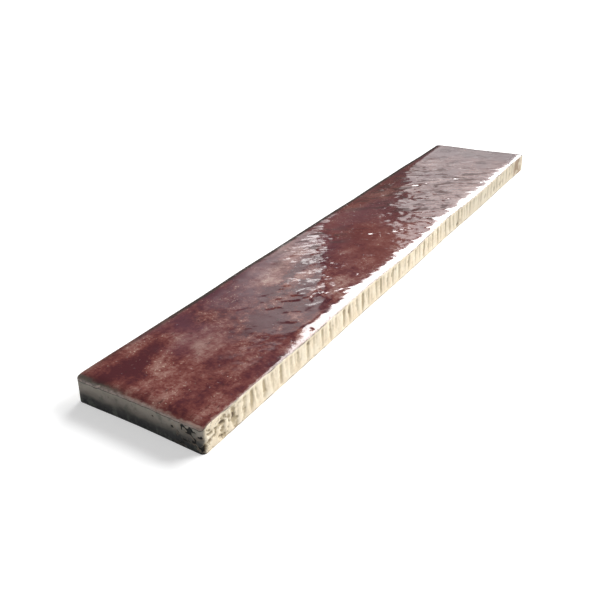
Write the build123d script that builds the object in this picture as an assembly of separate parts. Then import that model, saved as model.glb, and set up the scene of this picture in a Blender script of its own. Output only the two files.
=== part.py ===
"""A long, narrow glazed tile of hand-shaped clay, fired as one piece.

The back lies on the XY plane and the glazed face looks up +Z. The length runs along X. All sizes
are in millimetres. The long sides stand upright and wander a little. The ends are slightly hollow
and splay out towards the back. The face rolls over at every edge like a cushion. The long sides carry
the row of shallow upright flutes left by shaping, and the back is keyed for the adhesive.
"""

from build123d import *
from math import ceil, cos, hypot, pi, sin
import os

# Body of the tile
length = 399.0  # at the level of the face
width = 73.5
thickness = 13.8  # from the back to the highest level of the face
corner_radius = 2.2  # upright corners, seen from above
end_splay = 1.2  # how far each end stands out at the back
arris_lean = 0.55  # how far the eased edge under the face leans in, for each millimetre up
arris_cover = 0.15  # least height of the eased edge, at the corners of the face
foot_bevel = 0.3  # worn edge between the sides and the back

# Wander of the hand-cut sides: two waves that come and go along each long side
near_wander = 0.45  # how far each wave carries the near side off straight, at the face
far_wander = 0.2  # the same for the far side
foot_share = 0.3  # share of the wander that is left at the back
short_wave = 105.0
long_wave = 145.0
near_phases = (2.0, 2.75)
far_phases = (0.6, 3.6)
end_hollow = 0.5  # how far an end is hollowed at its middle

# Cushioned face
side_roll_width = 9.0  # from a long side to where the face levels out
side_roll_drop = 0.7
end_roll_width = 7.0
end_roll_drop = 1.4
swell_height = 0.1  # slow unevenness of the face
swell_pitch_along = 61.0
swell_pitch_across = 47.0

# Flutes in the long sides
flute_pitch = 7.0
flute_width = 3.4
flute_depth = 0.45
flute_unevenness = 0.3  # share of its depth that a flute may lose or gain
flute_stray = 0.9  # how far a flute may stand off its even place
flute_slant = 0.7  # how far the foot of a flute strays sideways
flute_drifts = (2.3, 3.7, 1.7)  # change of depth, place and slant from flute to flute, in radians
flute_end_margin = 12.0  # plain stretch at each end of a long side
flute_foot = 1.0  # where a flute runs out above the back
flute_cover = 0.3  # plain band between the flutes and the eased edge

# Keys in the back
key_count = 4
key_spacing = 14.0
key_width = 5.0
key_depth = 0.7
key_end_margin = 24.0  # plain clay between a key and the end of the tile

# Clay cut away above the face, and the spacing of the points that the curves pass through
headroom = 1.0  # above the highest level of the face
overhang = 1.0  # how far the cutting sheet reaches past the block
side_step = 24.0
face_step = 13.0


def spread(half, step):
    """Evenly spread stations from -half to half, at most one step apart."""
    gaps = ceil(2 * half / step)
    return [half * (2 * i / gaps - 1) for i in range(gaps + 1)]


def rise(z):
    """Share of the way up from the back to the top of the uncut block."""
    return z / (thickness + headroom)


def side_reach(x, z, wander, phases):
    """Distance from the centre line to a long side, fading to straight towards both ends."""
    share = foot_share + (1 - foot_share) * rise(z)
    fade = 1 - (2 * x / length) ** 4
    waves = sin(2 * pi * x / short_wave + phases[0]) + sin(2 * pi * x / long_wave + phases[1])
    return width / 2 + wander * share * fade * waves


def outline(z, inset=0.0):
    """Closed outline of the block at one height, drawn in all round by an inset."""
    half_x = length / 2 + end_splay * (1 - rise(z)) - inset
    half_y = width / 2 - inset
    run_x = half_x - corner_radius
    run_y = half_y - corner_radius
    stations = spread(run_x, side_step)[1:-1]
    near_waves = [(x, inset - side_reach(x, z, near_wander, near_phases)) for x in stations]
    far_waves = [(x, side_reach(x, z, far_wander, far_phases) - inset) for x in stations]
    near_long = [(-run_x, -half_y), *near_waves, (run_x, -half_y)]
    far_long = [(-run_x, half_y), *far_waves, (run_x, half_y)]
    left_end = [(-half_x, -run_y), (end_hollow - half_x, 0), (-half_x, run_y)]
    right_end = [(half_x, -run_y), (half_x - end_hollow, 0), (half_x, run_y)]

    with BuildSketch(Plane.XY.offset(z)) as sketch:
        with BuildLine():
            Spline(*near_long, tangents=[(1, 0), (1, 0)])
            Spline(*right_end, tangents=[(0, 1), (0, 1)])
            Spline(*far_long, tangents=[(1, 0), (1, 0)])
            Spline(*left_end, tangents=[(0, 1), (0, 1)])
            RadiusArc(near_long[-1], right_end[0], -corner_radius)
            RadiusArc(right_end[-1], far_long[-1], -corner_radius)
            RadiusArc(far_long[0], left_end[-1], -corner_radius)
            RadiusArc(left_end[0], near_long[0], -corner_radius)
        make_face()
    return sketch.sketch


def roll(distance, roll_width, drop):
    """How far the face has fallen at a distance inside an edge."""
    return drop * max(0.0, 1 - distance / roll_width) ** 2


def face_height(x, y):
    """Height of the glazed face above the back."""
    side = roll(width / 2 - abs(y), side_roll_width, side_roll_drop)
    end = roll(length / 2 - abs(x), end_roll_width, end_roll_drop)
    along = sin(2 * pi * x / swell_pitch_along)
    across = cos(2 * pi * (y / swell_pitch_across + x / length))
    return thickness - hypot(side, end) + swell_height * (along * across - 1)


def face_lines(half, roll_width):
    """Where the lines of points across the face lie, closer together where it rolls over."""
    reach = half + end_splay + 2 * near_wander + overhang
    rolled = [reach, half, half - roll_width / 3, half - 2 * roll_width / 3]
    return [-line for line in rolled] + spread(half - roll_width, face_step) + rolled[::-1]


def space_above_face():
    """Everything above the glazed face, as a solid to cut away."""
    across = face_lines(width / 2, side_roll_width)
    points = [[(x, y, face_height(x, y)) for y in across] for x in face_lines(length / 2, end_roll_width)]
    return extrude(Face.make_surface_from_array_of_points(points), amount=thickness, dir=(0, 0, 1))


def arris_foot():
    """Height at which the sides start to lean in, below the lowest corner of the face."""
    return thickness - hypot(side_roll_drop, end_roll_drop) - 2 * swell_height - arris_cover


def blank():
    """The tile before its flutes and keys are made."""
    top = thickness + headroom
    inset = arris_lean * (top - arris_foot())
    sections = [outline(0, foot_bevel), outline(foot_bevel), outline(arris_foot()), outline(top, inset)]
    return loft(sections, ruled=True) - space_above_face()


def flutes(side, wander, phases):
    """Slanting rods that each bite one flute into a long side and run out of it at its foot."""
    depth_drift, place_drift, slant_drift = flute_drifts
    radius = (flute_width**2 / 4 + flute_depth**2) / (2 * flute_depth)
    top = arris_foot() - flute_cover
    rods = []
    for i, even_x in enumerate(spread(length / 2 - flute_end_margin, flute_pitch)):
        bite = flute_depth * (1 + flute_unevenness * sin(depth_drift * i))
        x = even_x + flute_stray * sin(place_drift * i)
        foot_x = x + flute_slant * sin(slant_drift * i)
        start = Vector(x, side * (side_reach(x, top, wander, phases) + radius - bite), top)
        end = Vector(foot_x, side * (side_reach(foot_x, flute_foot, wander, phases) + radius), flute_foot)
        rods.append(extrude(Plane(start, z_dir=end - start) * Circle(radius), (end - start).length))
    return rods


def keys():
    """Lengthwise grooves in the back that stop short of both ends."""
    groove = extrude(SlotOverall(length - 2 * key_end_margin, key_width), key_depth)
    return [place * groove for place in GridLocations(0, key_spacing, 1, key_count)]


tile = blank() - flutes(-1, near_wander, near_phases) - flutes(1, far_wander, far_phases) - keys()
box = tile.bounding_box()
tile = Pos(-box.center().X, -box.center().Y, -box.min.Z) * tile

os.makedirs("parts", exist_ok=True)
export_step(tile, "parts/glazed_tile.step")
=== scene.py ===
"""The looks of the glazed tile: its relief, its glaze and bare clay, and the studio round it.

Sizes below are in millimetres, as in the model's own source, and MM turns them into metres. The
tile lies on its back on the floor, with its length along X and the glazed face up. The near end is
at -X and the near long side at -Y.
"""

from collections import namedtuple
from math import atan, cos, hypot, pi, radians, sin, tan
import random

import bmesh
import bpy
from mathutils import Matrix, Vector, noise

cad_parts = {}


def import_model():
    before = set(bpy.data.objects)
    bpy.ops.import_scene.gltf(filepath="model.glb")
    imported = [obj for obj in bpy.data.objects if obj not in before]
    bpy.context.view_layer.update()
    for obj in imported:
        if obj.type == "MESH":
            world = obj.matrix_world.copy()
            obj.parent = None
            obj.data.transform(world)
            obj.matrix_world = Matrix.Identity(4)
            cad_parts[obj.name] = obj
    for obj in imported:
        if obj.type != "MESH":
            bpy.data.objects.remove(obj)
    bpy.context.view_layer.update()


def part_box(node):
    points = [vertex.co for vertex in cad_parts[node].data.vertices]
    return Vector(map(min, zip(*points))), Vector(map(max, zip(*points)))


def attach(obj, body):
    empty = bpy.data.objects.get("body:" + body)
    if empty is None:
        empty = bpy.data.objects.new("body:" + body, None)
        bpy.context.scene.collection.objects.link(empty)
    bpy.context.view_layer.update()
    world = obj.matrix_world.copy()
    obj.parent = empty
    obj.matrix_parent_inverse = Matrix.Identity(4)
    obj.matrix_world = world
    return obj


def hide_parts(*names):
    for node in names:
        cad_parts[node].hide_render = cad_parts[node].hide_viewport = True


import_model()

MM = 0.001
low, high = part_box("glazed_tile")

# Body of the tile, as in the solid
length = 399.0
width = 73.5
thickness = (high[2] - low[2]) / MM
corner_radius = 2.2
end_splay = 1.2
headroom = 1.0
near_wander = 0.45
far_wander = 0.2
foot_share = 0.3
short_wave = 105.0
long_wave = 145.0
near_phases = (2.0, 2.75)
far_phases = (0.6, 3.6)
end_hollow = 0.5
side_roll_width = 9.0
side_roll_drop = 0.7
end_roll_width = 7.0
end_roll_drop = 1.4
swell_height = 0.1
swell_pitch_along = 61.0
swell_pitch_across = 47.0
flute_pitch = 7.0
flute_width = 3.4
flute_depth = 0.45
flute_unevenness = 0.3
flute_stray = 0.9
flute_slant = 0.7
flute_drifts = (2.3, 3.7, 1.7)
flute_end_margin = 12.0
flute_foot = 1.0
key_count = 4
key_spacing = 14.0
key_width = 5.0
key_depth = 0.7
key_end_margin = 24.0

# Mesh of the tile
face_step_along = 0.7
face_step_across = 0.8
arris_inset = 0.6  # where the face starts to turn down into the sides
arris_slopes = (0.02, 0.6)  # least and greatest slope that the face may have there
arris_rows = 6
arris_relief = 0.25  # share of the side's relief at the foot of the arris
side_rows = 14
foot_round = 0.3
foot_rows = 3
foot_relief = 0.6  # share of the side's relief at the top of the rounded foot
back_border = 4.0  # plain band round the back
back_step = 2.5
key_wall_lines = (-1.3, -0.3, 0.0, 0.25)  # how far outside a key's wall its lines of points lie
key_tip_step = 0.4  # between the lines of points across a key's tip

# Relief of the face
ripple_size = 7.0
ripple_height = 0.055
ripple_turns = (50.0, 31.0)  # degrees from the length to the way in which ripples follow each other
ripple_change = (-50.0, -15.0)  # where along the tile the first turn gives way to the second
ripple_stretch = 2.0  # how much longer than wide a ripple is
dimple_size = 4.0
dimple_height = 0.018
face_sink = 0.2  # keeps the crests of the ripples inside the solid's box
plain_dimpling = 0.9  # strength of the dimples away from the livelier parts
plain_rippling = 0.7
lively_spot = (-80.0, -8.0)  # where the glaze ripples most
lively_reach = (52.0, 30.0)
spot_dimpling = 3.0  # what the spot adds at its middle
spot_rippling = 3.4
lively_far = 20.0  # middle of the livelier part towards the far end
lively_far_reach = 200.0
far_dimpling = 1.3  # what that part adds at its middle
far_rippling = 3.2
blister = (-116.4, -33.8)  # one sunken spot in the glaze by the near side
blister_radius = 1.6
blister_depth = 0.25

# Relief of the sides and the back. The pairs of the fine flutes are limits of random values
fine_flute_places = (0.35, 0.65)  # share of the way from one flute of the solid to the next
fine_flute_slants = (-0.8, 1.2)
fine_flute_depths = (0.12, 0.34)
fine_flute_half_widths = (0.7, 1.1)
fine_flute_feet = (1.0, 4.0)
side_sink = 0.08  # keeps the grain of the clay inside the solid's box
coarse_grain = 0.10
fine_grain = 0.06
pit_depth = 0.5
end_crack_depth = 0.9  # in the dark corner of the near end
side_crack_depth = 0.18  # in the long sides, close to that end
end_holes = [(-9.0, 8.3), (-19.9, 7.4)]  # pinholes of the near end, as (y, z)
hole_radius = 1.1
hole_depth = 0.7
mark_half_widths = (0.9, 2.0)  # of the cracks in the near half, and of the nicks in the far half
back_unevenness = 0.06

# Cracks and nicks of the near side, as (x, z, length, lean in radians, depth)
side_marks = [
    (-180.5, 7.4, 2.6, 0.3, 0.6), (-123.0, 10.2, 3.4, 0.7, 0.6), (-84.6, 7.7, 3.0, 0.3, 0.4),
    (-36.8, 7.8, 3.0, 0.4, 0.4), (62.0, 2.2, 4.5, 1.3, 0.6), (66.0, 3.6, 2.6, 1.2, 0.4),
    (112.6, 5.8, 4.0, 0.8, 0.5), (132.0, 4.8, 4.0, 0.9, 0.6), (140.0, 4.2, 3.6, 0.6, 0.4),
    (145.5, 4.4, 4.0, 0.9, 0.6), (150.5, 5.2, 3.2, 0.7, 0.4), (168.0, 5.0, 3.5, 0.9, 0.4),
]

# Broad light and dark clouds in the glaze, as (x, y, reach along, reach across, change of tone)
glaze_clouds = [
    (-182.0, 26.0, 36.0, 14.0, -0.34), (-186.0, -18.0, 16.0, 16.0, -0.10),
    (-172.0, 12.0, 24.0, 16.0, -0.30), (-154.0, -8.0, 18.0, 20.0, 0.11),
    (-150.0, 4.0, 22.0, 16.0, 0.06), (-120.0, 30.0, 40.0, 12.0, -0.10),
    (-118.0, -4.0, 40.0, 24.0, 0.10), (-80.0, 8.0, 34.0, 26.0, 0.06),
    (186.0, 0.0, 22.0, 60.0, -0.25),
]
streaky_spot = (-32.0, 20.0, 44.0, 24.0, 1.0)  # dull streaks by the far side, in the same form

# Colours of the glaze. Its tones run from dark to light
wine_tones = [
    (0.20, (0.075, 0.018, 0.022)),
    (0.36, (0.120, 0.032, 0.030)),
    (0.48, (0.165, 0.052, 0.044)),
    (0.60, (0.225, 0.095, 0.080)),
    (1.00, (0.410, 0.270, 0.225)),
]
dusky_purple = (0.118, 0.047, 0.064)
pale_speck = (0.55, 0.42, 0.33)
dark_blotch = (0.050, 0.022, 0.020)
far_wine = (0.050, 0.026, 0.025)
# Painted dark reflection of the ripples, in the streaks of the far veil
painted_dark_streak = (0.055, 0.040, 0.038)
thin_glaze = (0.36, 0.25, 0.20)
olive_edge = (0.105, 0.105, 0.085)
pale_edge = (0.40, 0.27, 0.22)
worn_edge = (0.46, 0.35, 0.30)
dark_rim = (0.040, 0.036, 0.030)

# Colours of the clay and of the near end. The near end's tones are partly painted shade: they run from
# near-black painted shade at the foot up to a darker grey clay
clay_tones = [(0.30, (0.77, 0.64, 0.46)), (0.50, (0.88, 0.77, 0.59)), (0.70, (0.92, 0.84, 0.69))]
# Painted shade and dirt in the grooves and pits, darker the deeper they lie
groove_shade_and_dirt = (0.50, 0.41, 0.27)
deep_groove_shade_and_dirt = (0.36, 0.28, 0.16)
pit_shade_and_dirt = (0.10, 0.065, 0.040)
stained_clay = (0.34, 0.25, 0.16)
brown_clay = (0.42, 0.31, 0.22)
crack_clay = (0.13, 0.085, 0.050)
far_clay = (0.50, 0.45, 0.35)
rusty_clay = (0.25, 0.15, 0.085)
far_end_clay = (0.30, 0.31, 0.26)
# Painted shade along the foot, where the tile meets the floor
foot_shade = (0.16, 0.11, 0.06)
# Painted shadow under the overhanging lip of the glaze
lip_shadow = (0.035, 0.030, 0.022)
# Painted shade over the near end's darker grey clay, from near black at the foot upwards
end_shade_tones = [
    (0.00, (0.012, 0.013, 0.015)),
    (0.22, (0.050, 0.048, 0.046)),
    (0.50, (0.200, 0.178, 0.155)),
    (1.00, (0.400, 0.355, 0.305)),
]
green_murk = (0.125, 0.135, 0.115)
pale_halo = (0.36, 0.28, 0.21)
# Painted shade in the pits and cracks of the near end
black_pit_shade = (0.008, 0.007, 0.006)

# Studio, with lengths in metres and angles in degrees
floor_half = 6.0
floor_paint = 0.72
floor_glow = 0.45  # added to the lit floor near the tile, as the camera and the glaze see it
floor_glow_rise = (0.8, 2.0)  # distances between which the glow rises to full white
world_light = 0.18
horizon = (4.0, 9.0)  # elevations between which the mirrored backdrop darkens
horizon_light = 0.80
sky_light = 0.08
lamp_distance = 4.0

# Camera of the photograph: its direction, and its distance and offsets from the middle of the tile
camera_azimuth = -55.36
camera_elevation = 28.24
camera_roll = -3.16
camera_away = 1.091 * length
camera_across = -0.1037 * length
camera_upward = -0.0771 * length
focal_pixels = 689.0
image_pixels = 600.0
sensor_width = 36.0
clip_start = 0.01  # in metres


def spread(half, step):
    """Evenly spread stations from -half to half, at most one step apart."""
    gaps = int(-(-2 * half // step))
    return [half * (2 * i / gaps - 1) for i in range(gaps + 1)]


def clamp(value, lowest=0.0, highest=1.0):
    """Value kept between two limits."""
    return max(lowest, min(highest, value))


def smooth(value, start, end):
    """0 at start, 1 at end, with an easy change between them."""
    share = clamp((value - start) / (end - start))
    return share * share * (3 - 2 * share)


def clouds(x, y, z, size, octaves=3, shift=0.0):
    """Soft noise about 0 with features of a size. The shift picks another part of the noise."""
    return noise.fractal(Vector((x, y, z)) / size + Vector((shift, -shift, shift)), 1.0, 2.0, octaves)


def rise(z):
    """Share of the way up from the back to the top of the uncut block."""
    return z / (thickness + headroom)


def stray(x, z, wander, phases):
    """Sideways wander of a long side at x and height z."""
    share = foot_share + (1 - foot_share) * rise(z)
    fade = 1 - clamp(abs(2 * x / length)) ** 4
    waves = sin(2 * pi * x / short_wave + phases[0]) + sin(2 * pi * x / long_wave + phases[1])
    return wander * share * fade * waves


def bent(x, y, z):
    """Where a point goes in plan as the ends splay and hollow and the long sides wander."""
    across = clamp(0.5 + y / width)
    y += across * stray(x, z, far_wander, far_phases) - (1 - across) * stray(x, z, near_wander, near_phases)
    middle = 1 - clamp(abs(y) / (width / 2 - corner_radius)) ** 2
    outward = end_splay * (1 - rise(z)) - end_hollow * middle**2
    x += (1 if x > 0 else -1) * outward * clamp(abs(x) / (length / 2)) ** 6
    return x, y


def roll(distance, roll_width, drop):
    """How far the face has fallen at a distance inside an edge."""
    return drop * max(0.0, 1 - distance / roll_width) ** 2


def face_height(x, y):
    """Height of the glazed face above the back, without its fine relief."""
    side = roll(width / 2 - abs(y), side_roll_width, side_roll_drop)
    end = roll(length / 2 - abs(x), end_roll_width, end_roll_drop)
    along = sin(2 * pi * x / swell_pitch_along)
    across = cos(2 * pi * (y / swell_pitch_across + x / length))
    return thickness - hypot(side, end) + swell_height * (along * across - 1)


def liveliness(x, y):
    """How strongly the glaze is dimpled and how strongly it ripples at a place."""
    away = hypot((x - lively_spot[0]) / lively_reach[0], (y - lively_spot[1]) / lively_reach[1])
    spot = smooth(away, 1.0, 0.25)
    far = smooth(abs(x - lively_far) / lively_far_reach, 1.0, 0.3)
    dimpling = plain_dimpling + max(spot_dimpling * spot, far_dimpling * far)
    rippling = plain_rippling + max(spot_rippling * spot, far_rippling * far)
    return dimpling, rippling


def ripples(x, y, turn):
    """Long ripples that follow each other at an angle to the length."""
    follow = x * cos(turn) + y * sin(turn)
    along = y * cos(turn) - x * sin(turn)
    return ripple_height * clouds(follow, along / ripple_stretch, 0.0, ripple_size, shift=3.7)


def face_relief(x, y):
    """Ripples of the melted glaze. They flatten towards the edges, so the box stays as it is."""
    inside = min(width / 2 - abs(y), length / 2 - abs(x))
    ease = smooth(inside, 0.2, 3.0) * smooth(inside, -4.0, 16.0)
    first, second = (ripples(x, y, radians(turn)) for turn in ripple_turns)
    share = smooth(x, *ripple_change)
    dimpling, rippling = liveliness(x, y)
    waves = rippling * ((1 - share) * first + share * second)
    dimples = dimpling * dimple_height * clouds(x, y, 9.0, dimple_size, octaves=2, shift=8.1)
    sunken = blister_depth * smooth(hypot(x - blister[0], y - blister[1]), blister_radius, 0.0)
    return ease * (waves + dimples) - sunken - face_sink


Flute = namedtuple("Flute", "x depth half_width slant foot")


def make_flutes(seed):
    """The flutes of one long side: the row of the solid, and finer ones between them."""
    draw = random.Random(seed)
    depth_drift, place_drift, slant_drift = flute_drifts
    row = []
    for i, even_x in enumerate(spread(length / 2 - flute_end_margin, flute_pitch)):
        x = even_x + flute_stray * sin(place_drift * i)
        depth = flute_depth * (1 + flute_unevenness * sin(depth_drift * i))
        row.append(Flute(x, depth, flute_width / 2, flute_slant * sin(slant_drift * i), flute_foot))
        fine_x = x + flute_pitch * draw.uniform(*fine_flute_places)
        slant = draw.uniform(*fine_flute_slants)
        depth = draw.uniform(*fine_flute_depths)
        half_width = draw.uniform(*fine_flute_half_widths)
        row.append(Flute(fine_x, depth, half_width, slant, draw.uniform(*fine_flute_feet)))
    return row


flutes_near = make_flutes(11)
flutes_far = make_flutes(12)


def flute_bite(row, x, z, top):
    """How deep the flutes of a row bite at x and height z."""
    bite = 0.0
    for flute in row:
        share = clamp((z - flute.foot) / (top - flute.foot))
        offset = abs(x - flute.x - flute.slant * (1 - share)) / flute.half_width
        if offset < 1:
            bite = max(bite, flute.depth * share**0.3 * (1 - offset * offset))
    return bite


def mark_bite(x, z):
    """How deep the cracks and nicks of the near side are at a place."""
    bite = 0.0
    for mark_x, mark_z, reach, lean, depth in side_marks:
        broad = mark_half_widths[mark_x > 0]
        along = (x - mark_x) * sin(lean) + (z - mark_z) * cos(lean)
        beside = (x - mark_x) * cos(lean) - (z - mark_z) * sin(lean) + 0.3 * sin(3.0 * along)
        bite = max(bite, depth * smooth(abs(beside), broad, 0.1) * smooth(abs(along), reach / 2, reach / 4))
    return bite


def hole_bite(y, z):
    """How deep the pinholes of the near end are at a place."""
    return sum(hole_depth * smooth(hypot(y - hole_y, z - hole_z), hole_radius, 0.3)
               for hole_y, hole_z in end_holes)


def end_cracks(x, y, z, dark_corner):
    """How deep the ragged cracks in the dark corner of the near end are."""
    broken = smooth(clouds(x, y, z, 2.4, octaves=2, shift=7.1), -0.30, 0.20)
    line = smooth(abs(clouds(x, y, z * 1.5, 5.0, octaves=3, shift=2.4)), 0.34, 0.06)
    return end_crack_depth * dark_corner * broken * line


def side_cracks(x, y, z):
    """How deep the net of cracks in a long side is, close to the near end."""
    broken = smooth(clouds(x, y, z, 16.0, octaves=2, shift=4.9), -0.25, 0.15)
    line = smooth(abs(clouds(x, y, z * 1.1, 5.0, octaves=2, shift=7.9)), 0.10, 0.02)
    return side_crack_depth * smooth(x, -150.0, -185.0) * smooth(z, 12.0, 10.0) * broken * line


def side_bite(x, y, z, out, top):
    """How deep the side is cut in at a point: flutes, marks, pits, cracks and the grain of the clay."""
    along_side = smooth(abs(out[1]), 0.8, 1.0)
    calm = 0.75 + 0.3 * smooth(clouds(x, 40.0 * out[1], 0.0, 55.0, octaves=2, shift=1.3), -0.5, 0.4)
    row = flutes_near if y < 0 else flutes_far
    shaped = along_side * (calm * flute_bite(row, x, z, top) + side_cracks(x, y, z))
    if y < 0:
        shaped += along_side * mark_bite(x, z)
    if x < 0:
        shaped += (1 - along_side) * hole_bite(y, z)
    grain = coarse_grain * clouds(x, y, z, 5.0, octaves=3, shift=5.5)
    grain += fine_grain * clouds(x, y, z, 1.6, octaves=2, shift=2.5)
    # The dark corner of the near end, whose colour is painted shade
    dark_corner = smooth(x, -165.0, -196.0) * smooth(y, -17.0, -27.0) * smooth(z, 12.5, 10.5)
    pits = pit_depth * smooth(clouds(x, y, z * 1.2, 3.2, octaves=2, shift=6.6), 0.42, 0.7)
    pits *= 0.28 + 0.8 * dark_corner
    return side_sink + shaped + grain + pits + end_cracks(x, y, z, dark_corner)


def round_corner(x, y, half_x, half_y, radius):
    """Moves a point of a rectangle so that its rings get round corners, and gives the way out."""
    depth = min(half_x - abs(x), half_y - abs(y))
    left = max(radius - depth, 0.0)
    side_x = half_x - depth
    side_y = half_y - depth
    on_end = half_x - abs(x) <= half_y - abs(y)
    leg = abs(y) - (side_y - left) if on_end else abs(x) - (side_x - left)
    sign_x = 1 if x > 0 else -1
    sign_y = 1 if y > 0 else -1
    if left <= 0 or leg <= 0:
        return x, y, (sign_x, 0.0) if on_end else (0.0, sign_y)
    turn = pi / 4 * leg / left if on_end else pi / 2 - pi / 4 * leg / left
    out = (sign_x * cos(turn), sign_y * sin(turn))
    return sign_x * (side_x - left) + left * out[0], sign_y * (side_y - left) + left * out[1], out


class TileMesh:
    """The mesh of the tile. Each point stores what the material needs to know about it."""

    def __init__(self):
        self.mesh = bmesh.new()
        layers = self.mesh.verts.layers.float
        self.inside = layers.new("inside_edge")
        self.below = layers.new("below_edge")
        self.recess = layers.new("recess")
        self.near_end = layers.new("near_end")
        self.to_end = layers.new("to_end")

    def add(self, x, y, z, out, inside=0.0, below=0.0, recess=0.0):
        """A point with its way out, how far it is inside and below the edge, and how deep it lies."""
        vert = self.mesh.verts.new((x, y, z))
        vert[self.inside] = inside
        vert[self.below] = below
        vert[self.recess] = recess
        vert[self.near_end] = max(0.0, -out[0])
        vert[self.to_end] = abs(out[0])
        return vert

    def skin(self, grid):
        """Faces between the points of a grid."""
        for column, following in zip(grid, grid[1:]):
            for j in range(len(column) - 1):
                self.mesh.faces.new((column[j], following[j], following[j + 1], column[j + 1]))


def rim(grid):
    """The points round a grid, in order."""
    first_side = [column[0] for column in grid] + grid[-1][1:]
    return first_side + [column[-1] for column in reversed(grid[:-1])] + grid[0][-2:0:-1]


def add_face(body):
    """The glazed face. Gives its grid of points, and each point's place before bending and way out."""
    half_x = length / 2 - arris_inset
    half_y = width / 2 - arris_inset
    grid = []
    origins = {}
    for x in spread(half_x, face_step_along):
        column = []
        for y in spread(half_y, face_step_across):
            px, py, out = round_corner(x, y, half_x, half_y, corner_radius - arris_inset)
            inside = min(half_x - abs(x), half_y - abs(y)) + arris_inset
            height = face_height(px, py) + face_relief(px, py)
            vert = body.add(*bent(px, py, thickness), height, out, inside=inside)
            origins[vert] = (px, py, out)
            column.append(vert)
        grid.append(column)
    body.skin(grid)
    return grid, origins


Start = namedtuple("Start", "x y out top lean radius")


def side_start(vert, x, y, out):
    """Where the side begins at a point of the face's rim, and how its arris is rounded there."""
    lean = atan(clamp(face_height(x - out[0], y - out[1]) - face_height(x, y), *arris_slopes))
    return Start(x, y, out, vert.co.z, lean, arris_inset / (1 - sin(lean)))


def arris_step(start, share):
    """Inset, height and share of the side's relief, at a share of the way down the arris."""
    turn = start.lean + (pi / 2 - start.lean) * share
    drop = start.radius * (cos(start.lean) - cos(turn))
    return start.radius * (1 - sin(turn)), start.top - drop, arris_relief * share**3


def wall_step(start, share):
    """The same on the upright wall, where the relief grows to full over the first two rows."""
    top = start.top - start.radius * cos(start.lean)
    relief = arris_relief + (1 - arris_relief) * smooth(share * side_rows, 0, 2)
    return 0.0, top + (foot_round - top) * share, relief if share < 1 else foot_relief


def foot_step(start, share):
    """The same on the rounded foot."""
    turn = pi / 2 * share
    return foot_round * (1 - cos(turn)), foot_round * (1 - sin(turn)), foot_relief * (1 - share)


def add_sides(body, loop, origins):
    """Rings of points from the rim of the face down to the back. Gives the last ring."""
    starts = [side_start(vert, *origins[vert]) for vert in loop]
    rings = [loop]
    for step, rows in ((arris_step, arris_rows), (wall_step, side_rows), (foot_step, foot_rows)):
        for k in range(1, rows + 1):
            ring = []
            for start in starts:
                inset, z, share = step(start, k / rows)
                bite = share * side_bite(start.x, start.y, z, start.out, start.top)
                reach = arris_inset - inset - bite
                x, y = bent(start.x + start.out[0] * reach, start.y + start.out[1] * reach, z)
                ring.append(body.add(x, y, z, start.out, below=start.top - z, recess=bite))
            rings.append(ring)
    for upper, lower in zip(rings, rings[1:]):
        for i in range(len(upper)):
            j = (i + 1) % len(upper)
            body.mesh.faces.new((upper[i], lower[i], lower[j], upper[j]))
    return rings[-1]


key_middles = [key_spacing * (i - (key_count - 1) / 2) for i in range(key_count)]
key_tip = length / 2 - key_end_margin


def key_share(x, y):
    """How far a point of the back is inside a key, from 0 to 1."""
    beyond = max(0.0, abs(x) - (key_tip - key_width / 2))
    nearest = min(hypot(beyond, y - middle) for middle in key_middles)
    return smooth(key_width / 2 - nearest, -0.25, 0.3)


def back_lines(half, close_lines, gap):
    """Lines of points over the back: the close ones at the keys, and even ones a gap away from them."""
    even = [line for line in spread(half, back_step) if min(abs(line - close) for close in close_lines) > gap]
    return sorted({-half, half, *close_lines, *even})


def add_back(body):
    """The slightly uneven back with its keys, as a grid of points."""
    half_x = length / 2 - back_border
    half_y = width / 2 - back_border
    walls = [key_width / 2 + line for line in key_wall_lines]
    close_ys = [middle + side * wall for middle in key_middles for side in (-1, 1) for wall in walls]
    close_xs = [side * (key_tip - key_tip_step * i) for side in (-1, 1) for i in range(-1, 8)]
    xs = back_lines(half_x, close_xs, 0.6)
    ys = back_lines(half_y, close_ys, 0.8)
    grid = []
    for x in xs:
        column = []
        for y in ys:
            share = key_share(x, y)
            coarse = clouds(x, y, 3.0, 14.0, octaves=3, shift=4.4)
            fine = clouds(x, y, 3.0, 4.0, octaves=2, shift=9.9)
            uneven = clamp(back_unevenness * (1 + coarse + fine / 2), 0.0, 0.2)
            uneven *= smooth(min(half_x - abs(x), half_y - abs(y)), 0.0, 4.0)
            z = key_depth * share + uneven
            # The keys' recess darkens their clay with painted shade and dirt
            column.append(body.add(x, y, z, (0.0, 0.0), below=thickness, recess=0.4 * share))
        grid.append(column)
    body.skin(grid)
    return grid


def close_back(body, ring, inner):
    """Fills the plain band between the last ring of the sides and the rim of the back."""
    edges = []
    for loop in (ring, inner):
        for pair in zip(loop, loop[1:] + loop[:1]):
            edges.append(body.mesh.edges.get(pair) or body.mesh.edges.new(pair))
    bmesh.ops.triangle_fill(body.mesh, use_beauty=True, use_dissolve=False, edges=edges, normal=(0, 0, -1))


def middle_of(mesh, axis):
    """Middle of a mesh's reach along an axis."""
    places = [vert.co[axis] for vert in mesh.verts]
    return (min(places) + max(places)) / 2


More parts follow.
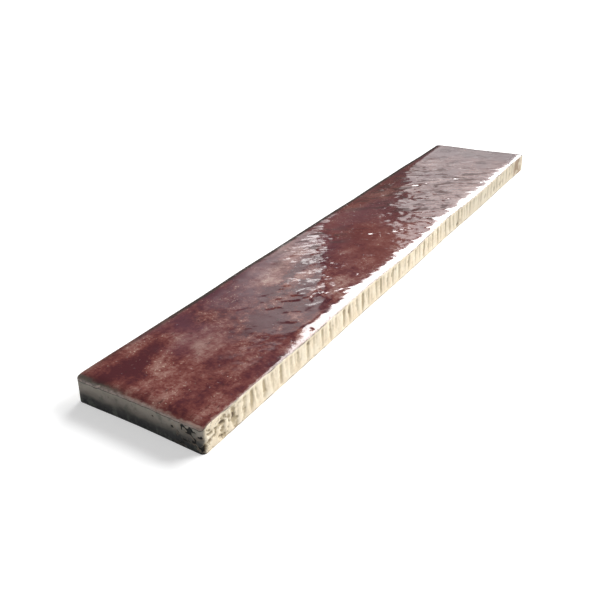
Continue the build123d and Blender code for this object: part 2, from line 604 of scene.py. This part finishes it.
def build_tile():
    """The whole tile as one closed mesh, centred as the solid is."""
    body = TileMesh()
    face_grid, origins = add_face(body)
    last_ring = add_sides(body, rim(face_grid), origins)
    close_back(body, last_ring, rim(add_back(body)))
    mesh = body.mesh
    bmesh.ops.recalc_face_normals(mesh, faces=mesh.faces)
    for face in mesh.faces:
        face.smooth = True
    centre = Vector((middle_of(mesh, 0), middle_of(mesh, 1), 0.0))
    bmesh.ops.translate(mesh, vec=-centre, verts=mesh.verts)
    bmesh.ops.scale(mesh, vec=(MM, MM, MM), verts=mesh.verts)
    data = bpy.data.meshes.new("tile_body")
    mesh.to_mesh(data)
    mesh.free()
    tile = bpy.data.objects.new("tile_body", data)
    bpy.context.scene.collection.objects.link(tile)
    return tile


class Shader:
    """The nodes of a material, a lamp or the world, added one by one."""

    def __init__(self, owner):
        owner.use_nodes = True
        self.tree = owner.node_tree
        self.tree.nodes.clear()

    def node(self, kind, **settings):
        """A new node with its settings."""
        made = self.tree.nodes.new(kind)
        for name, value in settings.items():
            setattr(made, name, value)
        return made

    def link(self, source, target):
        """Joins an output to an input, or sets the input to a number or a colour."""
        if isinstance(source, (int, float)):
            target.default_value = source
        elif isinstance(source, tuple):
            target.default_value = (*source, 1.0)
        else:
            self.tree.links.new(source, target)

    def finish(self, kind, shader):
        """Joins the last shader to an output node."""
        self.link(shader.outputs[0], self.node(kind).inputs["Surface"])

    def math(self, operation, first, second=0.0):
        """Result of one operation on values."""
        made = self.node("ShaderNodeMath", operation=operation)
        self.link(first, made.inputs[0])
        self.link(second, made.inputs[1])
        return made.outputs[0]

    def plus(self, total, *others):
        """Sum of values."""
        for other in others:
            total = self.math("ADD", total, other)
        return total

    def times(self, product, *others):
        """Product of values."""
        for other in others:
            product = self.math("MULTIPLY", product, other)
        return product

    def swing(self, value, size=1.0):
        """A noise from 0 to 1 as a swing of a size about 0."""
        return self.times(self.math("SUBTRACT", value, 0.5), size)

    def ramp(self, value, start, end, result_start=0.0, result_end=1.0):
        """Smoothly from one result to another as a value goes from start to end."""
        made = self.node("ShaderNodeMapRange", interpolation_type="SMOOTHSTEP")
        self.link(value, made.inputs["Value"])
        made.inputs["From Min"].default_value = start
        made.inputs["From Max"].default_value = end
        made.inputs["To Min"].default_value = result_start
        made.inputs["To Max"].default_value = result_end
        return made.outputs["Result"]

    def blend(self, share, first, second):
        """From one value to another by a share."""
        made = self.node("ShaderNodeMix", data_type="FLOAT")
        self.link(share, made.inputs["Factor"])
        self.link(first, made.inputs[2])
        self.link(second, made.inputs[3])
        return made.outputs[0]

    def mix(self, share, first, second):
        """From one colour to another by a share."""
        made = self.node("ShaderNodeMix", data_type="RGBA")
        self.link(share, made.inputs["Factor"])
        self.link(first, made.inputs[6])
        self.link(second, made.inputs[7])
        return made.outputs[2]

    def colours(self, value, stops):
        """Colour ramp through (place, colour) stops."""
        made = self.node("ShaderNodeValToRGB")
        self.link(value, made.inputs["Fac"])
        while len(made.color_ramp.elements) < len(stops):
            made.color_ramp.elements.new(0.5)
        for element, (spot, colour) in zip(made.color_ramp.elements, stops):
            element.position = spot
            element.color = (*colour, 1.0)
        return made.outputs["Color"]

    def axes(self, vector):
        """The three parts of a vector."""
        made = self.node("ShaderNodeSeparateXYZ")
        self.link(vector, made.inputs[0])
        return made.outputs

    def ray(self, *kinds):
        """1 for rays of the named kinds, and 0 for other rays."""
        path = self.node("ShaderNodeLightPath")
        found = 0.0
        for kind in kinds:
            found = self.math("MAXIMUM", found, path.outputs[f"Is {kind} Ray"])
        return found


class TileShader(Shader):
    """The tile's material, with what its colours share: places in millimetres, and noises."""

    def __init__(self, material):
        super().__init__(material)
        self.place = self.node("ShaderNodeTexCoord").outputs["Object"]
        self.x, self.y, self.z = (self.math("DIVIDE", part, MM) for part in self.axes(self.place))
        self.inside = self.attribute("inside_edge")
        self.below = self.attribute("below_edge")
        self.recess = self.attribute("recess")
        self.near_end = self.attribute("near_end")
        self.to_end = self.attribute("to_end")
        self.patch = self.noise(16.0, turn=-34, scale=(0.75, 1.3, 1), shift=(0.85, 0.37, 0), detail=6.0,
                                roughness=0.66, distortion=0.15)
        self.grain = self.noise(2.4, turn=28, scale=(1.3, 0.8, 1), roughness=0.72)
        self.ragged = self.noise(3.0, roughness=0.65)
        self.ragged_wide = self.noise(9.0, shift=(0.2, 0.6, 0), roughness=0.65)
        self.tint = self.noise(9.0, detail=5.0, roughness=0.65)
        self.stain = self.noise(2.6, scale=(1, 1, 1.6), shift=(0.2, 0.1, 0), roughness=0.7)

    def attribute(self, name):
        """A value that the points of the mesh store."""
        return self.node("ShaderNodeAttribute", attribute_name=name).outputs["Fac"]

    def stretched(self, place, turn=0.0, scale=(1.0, 1.0, 1.0), shift=(0.0, 0.0, 0.0)):
        """Places scaled along the axes, turned about Z by degrees, and then moved."""
        made = self.node("ShaderNodeMapping")
        self.link(place, made.inputs["Vector"])
        made.inputs["Rotation"].default_value = (0.0, 0.0, radians(turn))
        made.inputs["Scale"].default_value = scale
        made.inputs["Location"].default_value = shift
        return made.outputs["Vector"]

    def noise(self, size, place=None, detail=4.0, roughness=0.6, distortion=0.0, **stretching):
        """Noise from 0 to 1 with features of a size in millimetres."""
        made = self.node("ShaderNodeTexNoise")
        self.link(self.stretched(place or self.place, **stretching), made.inputs["Vector"])
        made.inputs["Scale"].default_value = 1 / (size * MM)
        made.inputs["Detail"].default_value = detail
        made.inputs["Roughness"].default_value = roughness
        made.inputs["Distortion"].default_value = distortion
        return made.outputs["Fac"]

    def spot(self, middle_x, middle_y, reach_x, reach_y, strength):
        """A strength that fades to 0 away from a place on the face."""
        across = self.math("DIVIDE", self.math("SUBTRACT", self.x, middle_x), reach_x)
        along = self.math("DIVIDE", self.math("SUBTRACT", self.y, middle_y), reach_y)
        distance = self.plus(self.math("POWER", across, 2.0), self.math("POWER", along, 2.0))
        return self.ramp(distance, 0.0, 1.0, strength, 0.0)


def dull_streaks(s):
    """Thin streaks that mirror little, in the far half and in a spot by the far side. Their colour is
    darkened too, as painted dark reflections of the ripples.
    """
    turned = s.stretched(s.place, turn=55)
    streak = s.noise(6.5, turned, scale=(0.42, 1.0, 1.0), shift=(0.3, 0.1, 0), detail=3.0, roughness=0.55,
                     distortion=0.5)
    far_half = s.times(s.ramp(s.x, 0, 50), s.ramp(s.x, 120, 180, 1.0, 0.5))
    streaky = s.math("MAXIMUM", far_half, s.spot(*streaky_spot))
    return s.times(s.ramp(streak, 0.53, 0.60), streaky, s.ramp(s.inside, 4.0, 9.0))


def glaze_colour(s, streak):
    """Wine-red glaze with drifting clouds, mottling, specks, dark blotches and streaks."""
    cloud = s.noise(52.0, turn=24, scale=(0.72, 1.25, 1), detail=2.0, roughness=0.5, distortion=0.3)
    mottle = s.plus(s.swing(cloud, 1.25), s.swing(s.patch, 1.6), s.swing(s.grain, 0.8))
    mottle = s.times(mottle, s.ramp(s.x, -150, -125, 1.0, 1.5), s.ramp(s.x, -85, -50, 1.0, 0.667))
    mottle = s.times(mottle, s.ramp(s.x, -75, -10, 1.0, 0.4))
    tone = s.plus(mottle, s.ramp(s.x, -150, -180, 0.46, 0.54), *[s.spot(*spot) for spot in glaze_clouds])
    glaze = s.colours(tone, wine_tones)
    purple = s.ramp(s.noise(40.0, shift=(0.9, 0.4, 0), detail=3.0, roughness=0.5), 0.40, 0.60)
    glaze = s.mix(s.times(purple, s.ramp(s.y, -5, 20, 0.35, 1.0), 0.55), glaze, dusky_purple)
    speck = s.ramp(s.noise(1.1, shift=(0.05, 0.02, 0), detail=2.0, roughness=0.5), 0.62, 0.72)
    glaze = s.mix(s.times(speck, s.ramp(s.patch, 0.45, 0.65), 0.75), glaze, pale_speck)
    blotch = s.ramp(s.noise(3.4, turn=35, scale=(0.6, 1.6, 1), shift=(0.4, 0, 0), detail=3.0), 0.60, 0.74)
    glaze = s.mix(s.times(blotch, s.ramp(s.x, -50, -120), 0.7), glaze, dark_blotch)
    glaze = s.mix(s.ramp(s.x, 0, 80, 0.0, 0.3), glaze, far_wine)
    # The streaks' darker colour is a painted dark reflection
    return s.mix(s.times(streak, 0.6), glaze, painted_dark_streak)


def edge_glaze(s, glaze, thin, worn):
    """The glaze by the edges: thin, olive, pale and worn along the near end, with a dark rim elsewhere."""
    glaze = s.mix(s.times(thin, 0.5), glaze, thin_glaze)
    from_end = s.plus(s.x, length / 2, s.swing(s.ragged_wide, 5.0))
    olive = s.times(s.ramp(from_end, 3.2, 1.2), s.ramp(s.y, 2, 18, 0.0, 0.8))
    glaze = s.mix(olive, glaze, olive_edge)
    pale = s.times(s.ramp(from_end, 1.0, 0.2), s.ramp(s.y, 16, 2, 0.1, 0.5))
    glaze = s.mix(pale, glaze, pale_edge)
    dark = s.ramp(s.plus(s.inside, s.swing(s.ragged_wide, 2.0)), 4.6, 2.0)
    beyond = s.math("MAXIMUM", s.ramp(s.y, 0, 20), s.ramp(s.x, 186, 195))
    glaze = s.mix(s.times(dark, beyond, s.ramp(s.x, -190, -120, 0.3, 0.85)), glaze, dark_rim)
    return s.mix(s.times(worn, s.ramp(s.ragged, 0.35, 0.6, 0.2, 0.9)), glaze, worn_edge)


def clay_colour(s):
    """Cream clay with painted shade and dirt in its recesses and painted shade along the foot, cracked near
    the front, grey and rusty towards the far end.
    """
    clay = s.colours(s.tint, clay_tones)
    # Painted shade and dirt in the recesses: the deeper a point lies, the darker its clay
    clay = s.mix(s.ramp(s.recess, 0.10, 0.36, 0.0, 0.55), clay, groove_shade_and_dirt)
    clay = s.mix(s.ramp(s.recess, 0.26, 0.50, 0.0, 0.70), clay, deep_groove_shade_and_dirt)
    clay = s.mix(s.ramp(s.recess, 0.58, 0.90, 0.0, 0.85), clay, pit_shade_and_dirt)
    clay = s.mix(s.ramp(s.stain, 0.62, 0.78, 0.0, 0.5), clay, stained_clay)
    clay = s.mix(s.times(s.ramp(s.x, -160, -188), s.ramp(s.tint, 0.45, 0.60), 0.12), clay, brown_clay)
    crack = s.ramp(s.math("ABSOLUTE", s.swing(s.noise(6.0, shift=(0.6, 0.9, 0.2)))), 0.020, 0.006)
    crack = s.times(crack, s.ramp(s.x, -168, -186), s.ramp(s.stain, 0.46, 0.56, 0.0, 0.6))
    clay = s.mix(crack, clay, crack_clay)
    clay = s.mix(s.ramp(s.x, -20, 120, 0.0, 0.55), clay, far_clay)
    rust = s.times(s.ramp(s.x, 174, 181), s.ramp(s.x, 200, 190), s.ramp(s.tint, 0.42, 0.54, 0.1, 0.8))
    clay = s.mix(rust, clay, rusty_clay)
    far_end = s.times(s.ramp(s.to_end, 0.1, 0.5), s.ramp(s.x, 190, 198, 0.0, 0.7))
    clay = s.mix(far_end, clay, far_end_clay)
    # Painted shade along the foot, broken up by the tint noise
    return s.mix(s.times(s.ramp(s.z, 0.9, 0.3), s.ramp(s.tint, 0.42, 0.56), 0.8), clay, foot_shade)


def with_end_shade(s, clay):
    """The clay with the near end's colour: a darker grey clay with painted shade, which is blackest at the
    foot and in the pits and cracks.
    """
    height = s.plus(s.z, s.swing(s.noise(12.0, scale=(1, 0.5, 1)), 9.0))
    # Painted shade, near black at the foot, over the near end's darker grey clay
    shaded_end = s.colours(s.ramp(height, 0.0, 10.5), end_shade_tones)
    murk = s.noise(5.0, shift=(0.1, 0.3, 0), roughness=0.65)
    shaded_end = s.mix(s.ramp(murk, 0.50, 0.66, 0.0, 0.6), shaded_end, green_murk)
    halo = s.times(s.ramp(s.recess, 0.16, 0.28), s.ramp(s.y, -16, -23), s.ramp(s.tint, 0.40, 0.60, 0.1, 0.5))
    shaded_end = s.mix(halo, shaded_end, pale_halo)
    # Painted shade in the pits and cracks, darker the deeper they lie
    shaded_end = s.mix(s.ramp(s.recess, 0.36, 0.60), shaded_end, black_pit_shade)
    return s.mix(s.ramp(s.plus(s.near_end, s.swing(s.stain, 0.8)), 0.15, 0.85), clay, shaded_end)


def below_lip(s):
    """How far a point is below the ragged lip of the glaze, which hangs a little lower on the ends."""
    ragged = s.times(s.swing(s.noise(4.0)), s.ramp(s.to_end, 0.3, 0.8, 0.5, 1.3))
    return s.math("SUBTRACT", s.plus(s.below, ragged), s.ramp(s.to_end, 0.3, 0.8, 0.0, 0.65))


def with_lip_shadow(s, clay, lip):
    """The clay with a painted shadow under the lip of the glaze: a dark line, which is broken on the long
    sides.
    """
    line = s.times(s.ramp(lip, 0.10, 0.22), s.ramp(lip, 0.75, 0.45))
    broken = s.ramp(s.noise(16.0, shift=(0.5, 0.2, 0), detail=2.0, roughness=0.5), 0.48, 0.60)
    # Painted shadow of the glaze's lip
    return s.mix(s.times(line, s.math("MAXIMUM", s.to_end, broken), 0.9), clay, lip_shadow)


def surface_roughness(s, bare, thin):
    """Glossy glaze, duller where it is thin, and matt clay."""
    gloss = s.plus(s.ramp(s.grain, 0.3, 0.8, 0.05, 0.11), s.times(thin, 0.12))
    return s.blend(bare, gloss, s.ramp(s.tint, 0.3, 0.7, 0.78, 0.92))


def surface_bumps(s, bare):
    """The finest relief, in millimetres: waves and pinholes of the glaze, and the grain of the clay."""
    waves = s.times(s.noise(3.0, detail=2.0, roughness=0.45), 0.03)
    waves = s.plus(waves, s.times(s.noise(1.0, detail=1.0), 0.006))
    pinholes = s.ramp(s.noise(1.6, shift=(0.7, 0.3, 0), detail=1.0, roughness=0.4), 0.74, 0.80)
    glaze = s.math("SUBTRACT", waves, s.times(pinholes, 0.08))
    clay = s.times(s.noise(1.2, detail=5.0, roughness=0.7), 0.22)
    clay = s.plus(clay, s.times(s.noise(0.4, detail=2.0), 0.08))
    bump = s.node("ShaderNodeBump")
    bump.inputs["Strength"].default_value = 1.0
    bump.inputs["Distance"].default_value = MM
    s.link(s.blend(bare, glaze, clay), bump.inputs["Height"])
    return bump.outputs["Normal"]


def tile_material():
    """Mottled wine-red glaze on the face, bare cream clay on the sides and the back."""
    material = bpy.data.materials.new("glazed_clay")
    s = TileShader(material)
    lip = below_lip(s)
    bare = s.ramp(lip, 0.18, 0.34)
    thin = s.ramp(s.plus(s.inside, s.swing(s.ragged, 5.0)), 1.6, 0.2)
    thin = s.times(thin, s.ramp(s.x, 20, 100, 1.0, 0.15))
    worn = s.times(s.ramp(lip, -0.75, -0.3), s.ramp(s.to_end, 0.5, 0.9), s.ramp(s.inside, 1.6, 0.5))
    streak = dull_streaks(s)
    glaze = edge_glaze(s, glaze_colour(s, streak), thin, worn)
    clay = with_lip_shadow(s, with_end_shade(s, clay_colour(s)), lip)
    surface = s.node("ShaderNodeBsdfPrincipled")
    s.link(s.mix(bare, glaze, clay), surface.inputs["Base Color"])
    s.link(surface_roughness(s, bare, thin), surface.inputs["Roughness"])
    s.link(surface_bumps(s, bare), surface.inputs["Normal"])
    s.link(s.math("SUBTRACT", 0.5, s.times(streak, 0.46)), surface.inputs["Specular IOR Level"])
    surface.inputs["IOR"].default_value = 1.55
    s.finish("ShaderNodeOutputMaterial", surface)
    return material


def floor():
    """A plain pale floor that looks white where nothing shades it, also far from the lamps."""
    corners = [(-floor_half, -floor_half, 0), (floor_half, -floor_half, 0),
               (floor_half, floor_half, 0), (-floor_half, floor_half, 0)]
    data = bpy.data.meshes.new("floor")
    data.from_pydata(corners, [], [(0, 1, 2, 3)])
    made = bpy.data.objects.new("floor", data)
    bpy.context.scene.collection.objects.link(made)
    material = bpy.data.materials.new("floor_white")
    s = Shader(material)
    paint = s.node("ShaderNodeBsdfDiffuse")
    paint.inputs["Color"].default_value = (floor_paint, floor_paint, floor_paint, 1.0)
    away = s.node("ShaderNodeVectorMath", operation="LENGTH")
    s.link(s.node("ShaderNodeTexCoord").outputs["Object"], away.inputs[0])
    strength = s.ramp(away.outputs["Value"], *floor_glow_rise, floor_glow, 1.0)
    glow = s.node("ShaderNodeEmission")
    s.link(s.times(s.ray("Camera", "Glossy", "Transmission"), strength), glow.inputs["Strength"])
    both = s.node("ShaderNodeAddShader")
    s.link(paint.outputs[0], both.inputs[0])
    s.link(glow.outputs[0], both.inputs[1])
    s.finish("ShaderNodeOutputMaterial", both)
    data.materials.append(material)


def world():
    """Dim even light before a white backdrop, which the glaze mirrors as white only near the horizon."""
    made = bpy.data.worlds.new("studio")
    bpy.context.scene.world = made
    s = Shader(made)
    height = s.axes(s.node("ShaderNodeTexCoord").outputs["Generated"])["Z"]
    first, last = (sin(radians(elevation)) for elevation in horizon)
    mirrored = s.ramp(height, first, last, horizon_light, sky_light)
    light = s.blend(s.ray("Glossy", "Transmission"), world_light, mirrored)
    background = s.node("ShaderNodeBackground")
    background.inputs["Color"].default_value = (1.0, 1.0, 1.0, 1.0)
    s.link(s.blend(s.ray("Camera"), light, 1.0), background.inputs["Strength"])
    s.finish("ShaderNodeOutputWorld", background)


def softbox(name, azimuth, elevation, radiance, turn=0.0, fade=None):
    """A rectangular lamp that fills a range of directions. Azimuth is from +X towards +Y.

    turn is how many degrees the lamp is turned about its middle. fade gives (start, end) shares
    across the lamp, from its first azimuth, over which it dims.
    """
    middle_az = radians(sum(azimuth) / 2)
    middle_el = radians(sum(elevation) / 2)
    direction = Vector((cos(middle_az) * cos(middle_el), sin(middle_az) * cos(middle_el), sin(middle_el)))
    lamp = bpy.data.lights.new(name, "AREA")
    lamp.shape = "RECTANGLE"
    lamp.size = 2 * lamp_distance * tan(radians(azimuth[1] - azimuth[0]) / 2) * cos(middle_el)
    lamp.size_y = 2 * lamp_distance * tan(radians(elevation[1] - elevation[0]) / 2)
    lamp.energy = radiance * pi * lamp.size * lamp.size_y
    made = bpy.data.objects.new(name, lamp)
    turned = direction.to_track_quat("Z", "Y").to_matrix() @ Matrix.Rotation(radians(turn), 3, "Z")
    made.matrix_world = Matrix.LocRotScale(direction * lamp_distance, turned, None)
    made.visible_camera = False
    bpy.context.scene.collection.objects.link(made)
    if fade:
        s = Shader(lamp)
        across = s.axes(s.node("ShaderNodeNewGeometry").outputs["Parametric"])["X"]
        emission = s.node("ShaderNodeEmission")
        s.link(s.ramp(across, *fade, 1.0, 0.0), emission.inputs["Strength"])
        s.finish("ShaderNodeOutputLight", emission)


def lights():
    """Soft lamps: what the glaze mirrors, and what lights the sides."""
    softbox("lamp_far", (3.5, 24.6), (12.5, 25.2), 0.92)
    softbox("lamp_far_low", (3.5, 24.6), (13.8, 17.6), 0.35)
    softbox("lamp_far_top", (3.5, 25.2), (19.2, 25.2), 1.15)
    softbox("lamp_edge", (-6.8, 28.8), (23.8, 43.5), 12.0, turn=46)
    softbox("lamp_middle", (33, 48), (17, 33), 1.2, fade=(0.15, 1.0))
    softbox("lamp_patch", (32.6, 35.6), (21.8, 25), 3.4)
    softbox("lamp_side", (-50, -12), (18, 46), 16.0)
    softbox("lamp_back", (95, 140), (25, 50), 1.2)
    softbox("lamp_top", (-20, 20), (70, 110), 1.2)


def camera():
    """The camera of the photograph."""
    azimuth = radians(camera_azimuth)
    elevation = radians(camera_elevation)
    roll_angle = radians(camera_roll)
    back = Vector((sin(azimuth) * cos(elevation), -cos(azimuth) * cos(elevation), sin(elevation)))
    right = Vector((cos(azimuth), sin(azimuth), 0.0))
    up = back.cross(right)
    rolled_right = cos(roll_angle) * right + sin(roll_angle) * up
    rolled_up = cos(roll_angle) * up - sin(roll_angle) * right
    data = bpy.data.cameras.new("camera")
    data.sensor_width = sensor_width
    data.lens = sensor_width * focal_pixels / image_pixels
    data.clip_start = clip_start
    made = bpy.data.objects.new("camera", data)
    made.matrix_world = Matrix((rolled_right, rolled_up, back)).transposed().to_4x4()
    made.location = (camera_across * rolled_right + camera_upward * rolled_up + camera_away * back) * MM
    bpy.context.scene.collection.objects.link(made)
    bpy.context.scene.camera = made


tile = build_tile()
tile.data.materials.append(tile_material())
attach(tile, "root")
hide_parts("glazed_tile")
floor()
world()
lights()
camera()
bpy.context.scene.view_settings.view_transform = "Standard"
